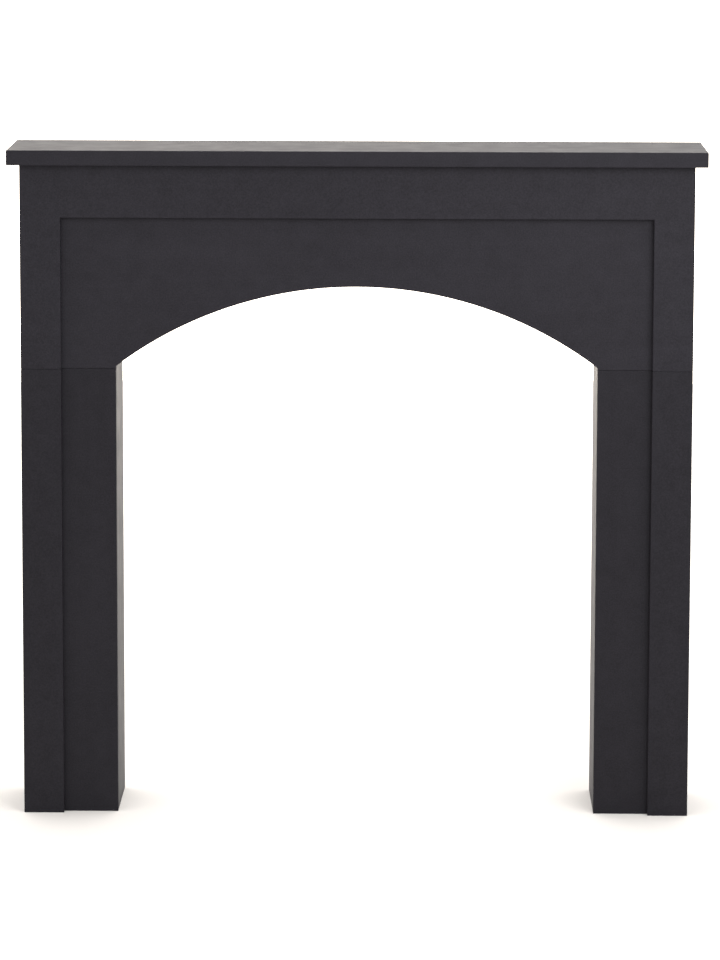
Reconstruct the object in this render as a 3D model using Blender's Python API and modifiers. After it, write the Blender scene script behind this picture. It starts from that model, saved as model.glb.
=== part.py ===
"""A painted board fireplace mantelpiece with a low segmental arch.

Two hollow legs of board stand on the floor. A header stands on the legs and carries the shelf.
Each front is a panel with a thinner frame laid over its outer border, so that the frame stands
proud of the panel. The header's panel is cut to the arch.

Frame: metres, +Z up, the front faces -Y and the open back faces +Y, towards the wall. The origin
is on the floor, at the middle of the width and of the depth.
"""

import math

import bmesh
import bpy

# Widths, from the opening outwards
OPENING_WIDTH = 0.800  # clear between the two legs
PANEL_SHOWN = 0.0905  # the strip of leg panel that shows beside the frame
STILE_WIDTH = 0.067  # the frame's upright strips
SHELF_END_OVERHANG = 0.020  # the shelf past the frame's outer edge, at each end

# Heights, from the floor up
LEG_HEIGHT = 0.754
HEADER_HEIGHT = 0.341
RAIL_HEIGHT = 0.088  # the frame's strip along the top of the header
ARCH_LIP = 0.004  # the upright edge below the arch, above the leg
ARCH_RISE = 0.134
SHELF_THICKNESS = 0.025

# Depths, from the wall forwards
SIDE_DEPTH = 0.153
PANEL_THICKNESS = 0.015
FRAME_THICKNESS = 0.012
SHELF_FRONT_OVERHANG = 0.020  # the shelf past the frame's face

# Boards and joints
SIDE_THICKNESS = 0.015
JOINT_GAP = 0.0003  # left open wherever two boards meet
ARRIS = 0.0008  # the sanded corner on every board
SHELF_ARRIS = 0.0012
ARRIS_STEPS = 2
ARRIS_FROM_ANGLE = math.radians(30)  # edges flatter than this, such as the arch's steps, stay
ARCH_STEPS = 64
WELD_DISTANCE = 0.00002

# Finish
PAINT_COLOUR = (0.030, 0.028, 0.033, 1.0)
PAINT_ROUGHNESS = 0.42

# Places across the width, measured from the middle
HALF_OPENING = OPENING_WIDTH / 2
STILE_INNER = HALF_OPENING + PANEL_SHOWN
HALF_BODY = STILE_INNER + STILE_WIDTH
HALF_SHELF = HALF_BODY + SHELF_END_OVERHANG

# Places up the height
HEADER_BOTTOM = LEG_HEIGHT + JOINT_GAP
SHELF_BOTTOM = LEG_HEIGHT + HEADER_HEIGHT
HEADER_TOP = SHELF_BOTTOM - JOINT_GAP
RAIL_BOTTOM = SHELF_BOTTOM - RAIL_HEIGHT
SPRINGING = LEG_HEIGHT + ARCH_LIP
SHELF_TOP = SHELF_BOTTOM + SHELF_THICKNESS

# Places through the depth, with the shelf's front and back the same distance from the origin
SHELF_DEPTH = SIDE_DEPTH + PANEL_THICKNESS + FRAME_THICKNESS + SHELF_FRONT_OVERHANG
WALL = SHELF_DEPTH / 2
SHELF_FRONT = -WALL
FRAME_FRONT = SHELF_FRONT + SHELF_FRONT_OVERHANG
FRAME_BACK = FRAME_FRONT + FRAME_THICKNESS
PANEL_FRONT = FRAME_BACK + JOINT_GAP
PANEL_BACK = FRAME_BACK + PANEL_THICKNESS
SIDE_FRONT = PANEL_BACK + JOINT_GAP

SIDES = (("left", -1), ("right", 1))


def clear_scene():
    for obj in list(bpy.data.objects):
        bpy.data.objects.remove(obj, do_unlink=True)


def make_collection(name):
    collection = bpy.data.collections.new(name)
    bpy.context.scene.collection.children.link(collection)
    return collection


def paint(name):
    """Dark satin paint for one piece."""
    material = bpy.data.materials.new(name + "_paint")
    material.use_nodes = True
    shader = material.node_tree.nodes["Principled BSDF"]
    shader.inputs["Base Color"].default_value = PAINT_COLOUR
    shader.inputs["Roughness"].default_value = PAINT_ROUGHNESS
    shader.inputs["Metallic"].default_value = 0.0
    return material


def finish_piece(obj, collection, arris):
    """Puts a piece in the collection, paints it and takes its corners off."""
    collection.objects.link(obj)
    obj.data.materials.append(paint(obj.name))
    bevel = obj.modifiers.new("arris", "BEVEL")
    bevel.width = arris
    bevel.segments = ARRIS_STEPS
    bevel.limit_method = "ANGLE"
    bevel.angle_limit = ARRIS_FROM_ANGLE
    return obj


def board(name, collection, x_span, y_span, z_span, arris=ARRIS):
    """A square-cut board between the two ends of each span."""
    spans = (x_span, y_span, z_span)
    size = [abs(span[1] - span[0]) for span in spans]
    centre = [(span[0] + span[1]) / 2 for span in spans]
    mesh = bpy.data.meshes.new(name)
    shape = bmesh.new()
    bmesh.ops.create_cube(shape, size=1.0)
    bmesh.ops.scale(shape, vec=size, verts=shape.verts)
    shape.to_mesh(mesh)
    shape.free()
    obj = bpy.data.objects.new(name, mesh)
    obj.location = centre
    return finish_piece(obj, collection, arris)


def cut_sheet(name, collection, outline, front, back):
    """A sheet cut to an outline of (x, height) points, lying between two depths."""
    curve = bpy.data.curves.new(name + "_outline", "CURVE")
    curve.dimensions = "2D"
    curve.fill_mode = "BOTH"
    curve.extrude = (back - front) / 2
    spline = curve.splines.new("POLY")
    spline.points.add(len(outline) - 1)
    for point, (x, height) in zip(spline.points, outline):
        point.co = (x, height, 0.0, 1.0)
    spline.use_cyclic_u = True
    drawn = bpy.data.objects.new(name + "_outline", curve)
    collection.objects.link(drawn)
    mesh = bpy.data.meshes.new_from_object(drawn.evaluated_get(bpy.context.evaluated_depsgraph_get()))
    bpy.data.objects.remove(drawn, do_unlink=True)

    shape = bmesh.new()
    shape.from_mesh(mesh)
    bmesh.ops.remove_doubles(shape, verts=shape.verts, dist=WELD_DISTANCE)
    bmesh.ops.dissolve_limit(
        shape,
        angle_limit=math.radians(0.05),
        verts=shape.verts,
        edges=shape.edges,
    )
    bmesh.ops.recalc_face_normals(shape, faces=shape.faces)
    shape.to_mesh(mesh)
    shape.free()
    mesh.materials.clear()
    obj = bpy.data.objects.new(name, mesh)
    obj.location = (0.0, (front + back) / 2, 0.0)
    obj.rotation_euler = (math.pi / 2, 0.0, 0.0)
    return finish_piece(obj, collection, ARRIS)


def arch_curve():
    """Points along the arch from its right springing to its left one."""
    radius = (HALF_OPENING**2 + ARCH_RISE**2) / (2 * ARCH_RISE)
    centre_height = SPRINGING + ARCH_RISE - radius
    half_angle = math.asin(HALF_OPENING / radius)
    points = []
    for step in range(ARCH_STEPS + 1):
        angle = half_angle * (1 - 2 * step / ARCH_STEPS)
        points.append((radius * math.sin(angle), centre_height + radius * math.cos(angle)))
    return points


def arch_panel_outline():
    """The header's panel: square outside, the arch and its two short lips inside."""
    outside = [
        (-HALF_OPENING, HEADER_BOTTOM),
        (-HALF_BODY, HEADER_BOTTOM),
        (-HALF_BODY, HEADER_TOP),
        (HALF_BODY, HEADER_TOP),
        (HALF_BODY, HEADER_BOTTOM),
        (HALF_OPENING, HEADER_BOTTOM),
    ]
    return outside + arch_curve()


def header_frame_outline():
    """The header's frame: a rail along the top with a short stile down each end."""
    return [
        (-HALF_BODY, HEADER_BOTTOM),
        (-HALF_BODY, HEADER_TOP),
        (HALF_BODY, HEADER_TOP),
        (HALF_BODY, HEADER_BOTTOM),
        (STILE_INNER, HEADER_BOTTOM),
        (STILE_INNER, RAIL_BOTTOM),
        (-STILE_INNER, RAIL_BOTTOM),
        (-STILE_INNER, HEADER_BOTTOM),
    ]


def build_leg(collection, side, sign):
    """One leg: a panel, the stile over it, and the two sides behind it."""
    leg_z = (0.0, LEG_HEIGHT)
    side_y = (SIDE_FRONT, WALL)
    panel_x = (sign * HALF_OPENING, sign * HALF_BODY)
    stile_x = (sign * STILE_INNER, sign * HALF_BODY)
    inner_x = (sign * HALF_OPENING, sign * (HALF_OPENING + SIDE_THICKNESS))
    outer_x = (sign * (HALF_BODY - SIDE_THICKNESS), sign * HALF_BODY)
    board("leg_panel_" + side, collection, panel_x, (PANEL_FRONT, PANEL_BACK), leg_z)
    board("leg_stile_" + side, collection, stile_x, (FRAME_FRONT, FRAME_BACK), leg_z)
    board("leg_inner_side_" + side, collection, inner_x, side_y, leg_z)
    board("leg_outer_side_" + side, collection, outer_x, side_y, leg_z)


def build_header(collection):
    """The arched panel, the frame over it and a side board at each end."""
    cut_sheet("header_arch_panel", collection, arch_panel_outline(), PANEL_FRONT, PANEL_BACK)
    cut_sheet("header_frame", collection, header_frame_outline(), FRAME_FRONT, FRAME_BACK)
    for side, sign in SIDES:
        board(
            "header_side_" + side,
            collection,
            (sign * (HALF_BODY - SIDE_THICKNESS), sign * HALF_BODY),
            (SIDE_FRONT, WALL),
            (HEADER_BOTTOM, HEADER_TOP),
        )


def build_shelf(collection):
    board(
        "mantel_shelf",
        collection,
        (-HALF_SHELF, HALF_SHELF),
        (SHELF_FRONT, WALL),
        (SHELF_BOTTOM, SHELF_TOP),
        arris=SHELF_ARRIS,
    )


def main():
    clear_scene()
    collection = make_collection("fireplace_mantelpiece")
    for side, sign in SIDES:
        build_leg(collection, side, sign)
    build_header(collection)
    build_shelf(collection)


main()
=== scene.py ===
"""Looks of a painted board fireplace mantelpiece: its paint, the camera, the light and the floor.

Every board is the frame's own solid. Each gets a charcoal paint of its own, which tells the
board's faces from its cut edges, and from the side that is turned away inside the work.
"""

import math

import bpy
from mathutils import Euler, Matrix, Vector

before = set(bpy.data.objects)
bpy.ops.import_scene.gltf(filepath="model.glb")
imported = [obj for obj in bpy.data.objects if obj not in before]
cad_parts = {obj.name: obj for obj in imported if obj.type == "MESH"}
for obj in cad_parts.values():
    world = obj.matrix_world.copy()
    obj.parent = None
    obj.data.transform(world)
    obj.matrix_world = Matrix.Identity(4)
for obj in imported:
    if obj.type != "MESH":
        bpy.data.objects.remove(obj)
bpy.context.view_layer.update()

# Camera, in metres, degrees and millimetres, from a fit to the photograph's corners and edges
CAMERA_PLACE = (0.089, -7.0, 1.75)
CAMERA_PITCH = 7.91
CAMERA_YAW = 0.69
CAMERA_ROLL = 0.15
CAMERA_SENSOR = 36.0
CAMERA_LENS = 158.15
CAMERA_SHIFT_Y = -0.1354

# Paint, as linear colours, and its gloss
PAINT = (0.0192, 0.0180, 0.0226)
PAINT_ROUGHNESS = 0.45
PAINT_SPECULAR = 0.10
HEADER_TONE = 1.0
LEG_TONE = 0.83
CUT_EDGE_ROUGHNESS = 0.52

# The one coat on the sides turned away, darker where it sank in and paler on the fibres
THIN_COAT = (0.022, 0.019, 0.018)
THIN_COAT_ROUGHNESS = 0.68
SUNK_TONE = 0.8
FIBRE_TONE = 1.35

# How squarely a surface faces an axis where one finish gives way to the next
CUT_EDGE_FACING = (0.25, 0.6)
TURNED_AWAY_FACING = (0.55, 0.8)

# Noises, each as features per metre, octaves of detail and the detail's roughness
DRIFT_NOISE = (5.0, 3.0, 0.5)
CLOUD_NOISE = (38.0, 4.0, 0.6)
SPECKLE_NOISE = (430.0, 2.0, 0.6)
GLOSS_NOISE = (24.0, 3.0, 0.5)
PEEL_NOISE = (850.0, 1.0, 0.5)
ROLLER_NOISE = (330.0, 2.0, 0.5)
FLOOR_NOISE = (2.0, 2.0, 0.5)

# Stretched noises, whose features per metre differ from axis to axis
LAP_NOISE = (1.0, 2.0, 0.5)
LAPS_ALONG_BOARD = 2.5
LAPS_ACROSS_BOARD = 45.0
FIBRE_NOISE = (1.0, 3.0, 0.6)
FIBRE_STRETCH = (1500.0, 260.0, 260.0)

# The part of a noise's range that counts, and how far apart two boards' noises are, in metres
NOISE_RANGE = (0.3, 0.7)
FIBRE_RANGE = (0.42, 0.72)
BOARD_SHIFT = (3.1, 1.7, 2.3)

# The most that each noise adds to the paint's tone or roughness, or takes from it
DRIFT_SHARE = 0.04
CLOUD_SHARE = 0.07
SPECKLE_SHARE = 0.20
LAP_SHARE = 0.035
GLOSS_SHARE = 0.03

# Relief of the paint, in metres, and the share of the fibres that full coats leave
PEEL_HEIGHT = 0.000012
ROLLER_HEIGHT = 0.00011
FIBRE_HEIGHT = 0.00002
FIBRES_UNDER_PAINT = 0.08

# Room and backdrop; the backdrop fades in between two cosines of the angle from its middle
ROOM_STRENGTH = 0.74
ROOM_COLOUR = (1.0, 1.0, 1.0, 1.0)
BACKDROP_STRENGTH = 4.5
BACKDROP_COLOUR = (1.0, 0.91, 0.81, 1.0)
BACKDROP_DIRECTION = (-0.20, 0.86, -0.45)
BACKDROP_FADE = (0.57, 0.97)

# Softboxes: place, target and size in metres, power in watts, spread in degrees, and colour
WHITE_LIGHT = (1.0, 1.0, 1.0)
WARM_LIGHT = (1.0, 0.955, 0.90)
SOFTBOXES = {
    "key_softbox": ((1.5, -2.1, 1.95), (0.6, 0.0, 1.15), (2.0, 1.5), 12.6, 70.0, WHITE_LIGHT),
    "fill_softbox": ((-1.3, -2.4, 1.7), (-0.4, 0.0, 1.1), (1.7, 1.4), 2.0, 70.0, WHITE_LIGHT),
    "top_softbox": ((0.0, 2.5, 7.0), (0.0, 2.5, 0.0), (9.0, 9.0), 590.0, 180.0, WARM_LIGHT),
    "sweep_softbox": ((0.0, 4.2, 4.0), (0.0, 4.4, 0.0), (2.5, 2.5), 55.0, 90.0, WARM_LIGHT),
}

# Floor
FLOOR_RADIUS = 5.0
FLOOR_SIDES = 128
FLOOR_COLOUR = (0.90, 0.875, 0.85)
FLOOR_TONES = (0.985, 1.0)
FLOOR_ROUGHNESS = 0.9
FLOOR_SPECULAR = 0.1

ALONG_X, ALONG_Y, ALONG_Z = (1, 0, 0), (0, 1, 0), (0, 0, 1)
TO_LEFT, TO_RIGHT, TO_BACK = (-1, 0, 0), (1, 0, 0), (0, 1, 0)

# node: the axes through the board's thickness and along it, the side turned away from view, and
# its tone
BOARDS = {
    "mantel_shelf": (ALONG_Z, ALONG_X, TO_BACK, HEADER_TONE),
    "header_arch_panel": (ALONG_Y, ALONG_X, TO_BACK, HEADER_TONE),
    "header_frame": (ALONG_Y, ALONG_X, TO_BACK, HEADER_TONE),
    "header_side_left": (ALONG_X, ALONG_Z, TO_RIGHT, HEADER_TONE),
    "header_side_right": (ALONG_X, ALONG_Z, TO_LEFT, HEADER_TONE),
    "leg_panel_left": (ALONG_Y, ALONG_Z, TO_BACK, LEG_TONE),
    "leg_panel_right": (ALONG_Y, ALONG_Z, TO_BACK, LEG_TONE),
    "leg_stile_left": (ALONG_Y, ALONG_Z, TO_BACK, LEG_TONE),
    "leg_stile_right": (ALONG_Y, ALONG_Z, TO_BACK, LEG_TONE),
    "leg_inner_side_left": (ALONG_X, ALONG_Z, TO_LEFT, LEG_TONE),
    "leg_inner_side_right": (ALONG_X, ALONG_Z, TO_RIGHT, LEG_TONE),
    "leg_outer_side_left": (ALONG_X, ALONG_Z, TO_RIGHT, LEG_TONE),
    "leg_outer_side_right": (ALONG_X, ALONG_Z, TO_LEFT, LEG_TONE),
}

# The Mix node's two inputs and its output for each kind of data, by number: their names repeat
MIX_SOCKETS = {"FLOAT": (2, 3, 0), "RGBA": (6, 7, 2)}


class Shader:
    """Short names for building the node tree of a material or a world."""

    def __init__(self, owner):
        owner.use_nodes = True
        self.tree = owner.node_tree

    def add(self, kind, settings=None, **inputs):
        """A node; each input is a value or another node's output."""
        node = self.tree.nodes.new(kind)
        for key, value in (settings or {}).items():
            setattr(node, key, value)
        for key, value in inputs.items():
            self.feed(node, key, value)
        return node

    def feed(self, node, key, value):
        """Gives a node's input, by its name or number, a value or another node's output."""
        socket = node.inputs[key]
        if isinstance(value, bpy.types.NodeSocket):
            self.tree.links.new(value, socket)
        else:
            socket.default_value = value

    def maths(self, operation, first, second=0.0):
        node = self.add("ShaderNodeMath", {"operation": operation})
        self.feed(node, 0, first)
        self.feed(node, 1, second)
        return node.outputs["Value"]

    def dot(self, first, second):
        node = self.add("ShaderNodeVectorMath", {"operation": "DOT_PRODUCT"})
        self.feed(node, 0, first)
        self.feed(node, 1, second)
        return node.outputs["Value"]

    def toned(self, colour, tone):
        """A colour made lighter or darker by a number."""
        node = self.add("ShaderNodeVectorMath", {"operation": "SCALE"}, Scale=tone)
        self.feed(node, 0, colour)
        return node.outputs["Vector"]

    def mix(self, kind, share, first, second):
        """Two numbers, of kind FLOAT, or two colours, of kind RGBA, mixed by a share."""
        node = self.add("ShaderNodeMix", {"data_type": kind})
        first_input, second_input, output = MIX_SOCKETS[kind]
        self.feed(node, 0, share)
        self.feed(node, first_input, first)
        self.feed(node, second_input, second)
        return node.outputs[output]

    def spread(self, value, source, target=(0.0, 1.0), interpolation="LINEAR"):
        """A value's range stretched to another range, and kept within it."""
        node = self.add("ShaderNodeMapRange", {"interpolation_type": interpolation}, Value=value)
        for key, number in zip(("From Min", "From Max", "To Min", "To Max"), source + target):
            self.feed(node, key, number)
        return node.outputs["Result"]

    def noise(self, place, looks):
        scale, detail, roughness = looks
        node = self.add(
            "ShaderNodeTexNoise",
            Vector=place,
            Scale=scale,
            Detail=detail,
            Roughness=roughness,
        )
        return node.outputs["Fac"]

    def swing(self, place, looks, share, middle=0.0):
        """A noise that goes a share above and below its middle."""
        return self.spread(self.noise(place, looks), NOISE_RANGE, (middle - share, middle + share))

    def stretched_noise(self, place, stretch, looks):
        """A noise with a scale of its own along each axis."""
        scaled = self.add("ShaderNodeMapping", Vector=place, Scale=stretch)
        return self.noise(scaled.outputs["Vector"], looks)


def moved_place(shader, seed):
    """Coordinates in metres on the board, shifted so that no two boards share a texture."""
    place = shader.add("ShaderNodeTexCoord").outputs["Object"]
    shift = [seed * step for step in BOARD_SHIFT]
    return shader.add("ShaderNodeMapping", Vector=place, Location=shift).outputs["Vector"]


def facing(shader, direction):
    """How far a surface's own normal points along a direction, from -1 to 1."""
    normal = shader.add("ShaderNodeNewGeometry").outputs["Normal"]
    return shader.dot(normal, direction)


def scaled_colour(colour, share):
    return tuple(channel * share for channel in colour)


def paint_tone(shader, place, length_axis):
    """How light the full coats are: broad drift, clouds, speckle and streaks along the board,
    where one pass of the roller overlaps the next."""
    drift = shader.swing(place, DRIFT_NOISE, DRIFT_SHARE, 1.0)
    cloud = shader.swing(place, CLOUD_NOISE, CLOUD_SHARE)
    speckle = shader.swing(place, SPECKLE_NOISE, SPECKLE_SHARE)
    stretch = [LAPS_ALONG_BOARD if along else LAPS_ACROSS_BOARD for along in length_axis]
    laps = shader.stretched_noise(place, stretch, LAP_NOISE)
    laps = shader.spread(laps, NOISE_RANGE, (-LAP_SHARE, LAP_SHARE))
    broad = shader.maths("ADD", drift, laps)
    fine = shader.maths("ADD", cloud, speckle)
    return shader.maths("ADD", broad, fine)


def thin_coat_colour(shader, fibres):
    """One thin coat, with an alpha as the Mix node's colours have."""
    sunk = scaled_colour(THIN_COAT, SUNK_TONE) + (1.0,)
    on_fibre = scaled_colour(THIN_COAT, FIBRE_TONE) + (1.0,)
    return shader.mix("RGBA", shader.spread(fibres, FIBRE_RANGE), sunk, on_fibre)


def paint_relief(shader, place, fibres, cut_edge, thin_coat):
    """Roller stipple and orange peel on the paint, with fibres where the board drinks it up."""
    peel = shader.maths("MULTIPLY", shader.noise(place, PEEL_NOISE), PEEL_HEIGHT)
    stipple = shader.maths("MULTIPLY", shader.noise(place, ROLLER_NOISE), ROLLER_HEIGHT)
    bare = shader.maths("MAXIMUM", cut_edge, thin_coat)
    fibre_share = shader.spread(bare, (0.0, 1.0), (FIBRES_UNDER_PAINT, 1.0))
    fuzz = shader.maths("MULTIPLY", fibres, fibre_share)
    fuzz = shader.maths("MULTIPLY", fuzz, FIBRE_HEIGHT)
    height = shader.maths("ADD", shader.maths("ADD", peel, stipple), fuzz)
    bump = shader.add("ShaderNodeBump", Height=height, Strength=1.0, Distance=1.0)
    return bump.outputs["Normal"]


def painted_board(name, seed, thickness_axis, length_axis, away, tone):
    """Satin paint on fibreboard: smooth faces, soaked-in cut edges, one thin coat on the side
    that is turned away."""
    material = bpy.data.materials.new(name + "_paint")
    shader = Shader(material)
    place = moved_place(shader, seed)

    across = shader.maths("ABSOLUTE", facing(shader, thickness_axis))
    cut_edge = shader.spread(across, CUT_EDGE_FACING, (1.0, 0.0))
    thin_coat = shader.spread(facing(shader, away), TURNED_AWAY_FACING)

    full_coats = shader.toned(scaled_colour(PAINT, tone), paint_tone(shader, place, length_axis))
    fibres = shader.stretched_noise(place, FIBRE_STRETCH, FIBRE_NOISE)
    colour = shader.mix("RGBA", thin_coat, full_coats, thin_coat_colour(shader, fibres))

    roughness = shader.mix("FLOAT", cut_edge, PAINT_ROUGHNESS, CUT_EDGE_ROUGHNESS)
    roughness = shader.mix("FLOAT", thin_coat, roughness, THIN_COAT_ROUGHNESS)
    roughness = shader.maths("ADD", roughness, shader.swing(place, GLOSS_NOISE, GLOSS_SHARE))

    surface = shader.tree.nodes["Principled BSDF"]
    surface.inputs["Specular IOR Level"].default_value = PAINT_SPECULAR
    shader.feed(surface, "Base Color", colour)
    shader.feed(surface, "Roughness", roughness)
    shader.feed(surface, "Normal", paint_relief(shader, place, fibres, cut_edge, thin_coat))
    return material


def paint_boards():
    for seed, (name, looks) in enumerate(BOARDS.items(), start=1):
        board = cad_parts[name]
        board.data.materials.clear()
        board.data.materials.append(painted_board(name, seed, *looks))


def make_camera():
    data = bpy.data.cameras.new("camera")
    data.sensor_width = CAMERA_SENSOR
    data.lens = CAMERA_LENS
    data.shift_y = CAMERA_SHIFT_Y
    camera = bpy.data.objects.new("camera", data)
    camera.location = CAMERA_PLACE
    tilt = math.radians(90 - CAMERA_PITCH)
    turn = Euler((tilt, 0.0, math.radians(CAMERA_YAW)), "XYZ").to_matrix()
    roll = Euler((0.0, 0.0, math.radians(CAMERA_ROLL)), "XYZ").to_matrix()
    camera.rotation_euler = (turn @ roll).to_euler("XYZ")
    bpy.context.scene.collection.objects.link(camera)
    bpy.context.scene.camera = camera


def make_world():
    """A white room, with a brighter and slightly warm backdrop behind the mantelpiece."""
    world = bpy.data.worlds.new("white_room")
    shader = Shader(world)
    background = shader.tree.nodes["Background"]
    direction = shader.add("ShaderNodeTexCoord").outputs["Generated"]
    towards = shader.dot(direction, Vector(BACKDROP_DIRECTION).normalized())
    share = shader.spread(towards, BACKDROP_FADE, interpolation="SMOOTHSTEP")
    strength = shader.spread(share, (0.0, 1.0), (ROOM_STRENGTH, BACKDROP_STRENGTH))
    shader.feed(background, "Strength", strength)
    colour = shader.mix("RGBA", share, ROOM_COLOUR, BACKDROP_COLOUR)
    shader.feed(background, "Color", colour)
    bpy.context.scene.world = world


def make_lights():
    for name, (place, target, size, power, spread, colour) in SOFTBOXES.items():
        data = bpy.data.lights.new(name, "AREA")
        data.shape = "RECTANGLE"
        data.size, data.size_y = size
        data.energy = power
        data.color = colour
        data.spread = math.radians(spread)
        lamp = bpy.data.objects.new(name, data)
        lamp.location = place
        aim = Vector(target) - Vector(place)
        lamp.rotation_euler = aim.to_track_quat("-Z", "Y").to_euler()
        bpy.context.scene.collection.objects.link(lamp)


def make_floor():
    bpy.ops.mesh.primitive_circle_add(
        vertices=FLOOR_SIDES,
        radius=FLOOR_RADIUS,
        fill_type="NGON",
    )
    floor = bpy.context.object
    floor.name = "studio_floor"
    material = bpy.data.materials.new("studio_floor_matt")
    shader = Shader(material)
    place = shader.add("ShaderNodeTexCoord").outputs["Object"]
    wear = shader.spread(shader.noise(place, FLOOR_NOISE), NOISE_RANGE, FLOOR_TONES)
    surface = shader.tree.nodes["Principled BSDF"]
    surface.inputs["Roughness"].default_value = FLOOR_ROUGHNESS
    surface.inputs["Specular IOR Level"].default_value = FLOOR_SPECULAR
    shader.feed(surface, "Base Color", shader.toned(FLOOR_COLOUR, wear))
    floor.data.materials.append(material)


def set_colour_management():
    view = bpy.context.scene.view_settings
    view.view_transform = "Standard"
    view.look = "None"
    view.exposure = 0.0
    view.gamma = 1.0


paint_boards()
make_camera()
make_world()
make_lights()
make_floor()
set_colour_management()
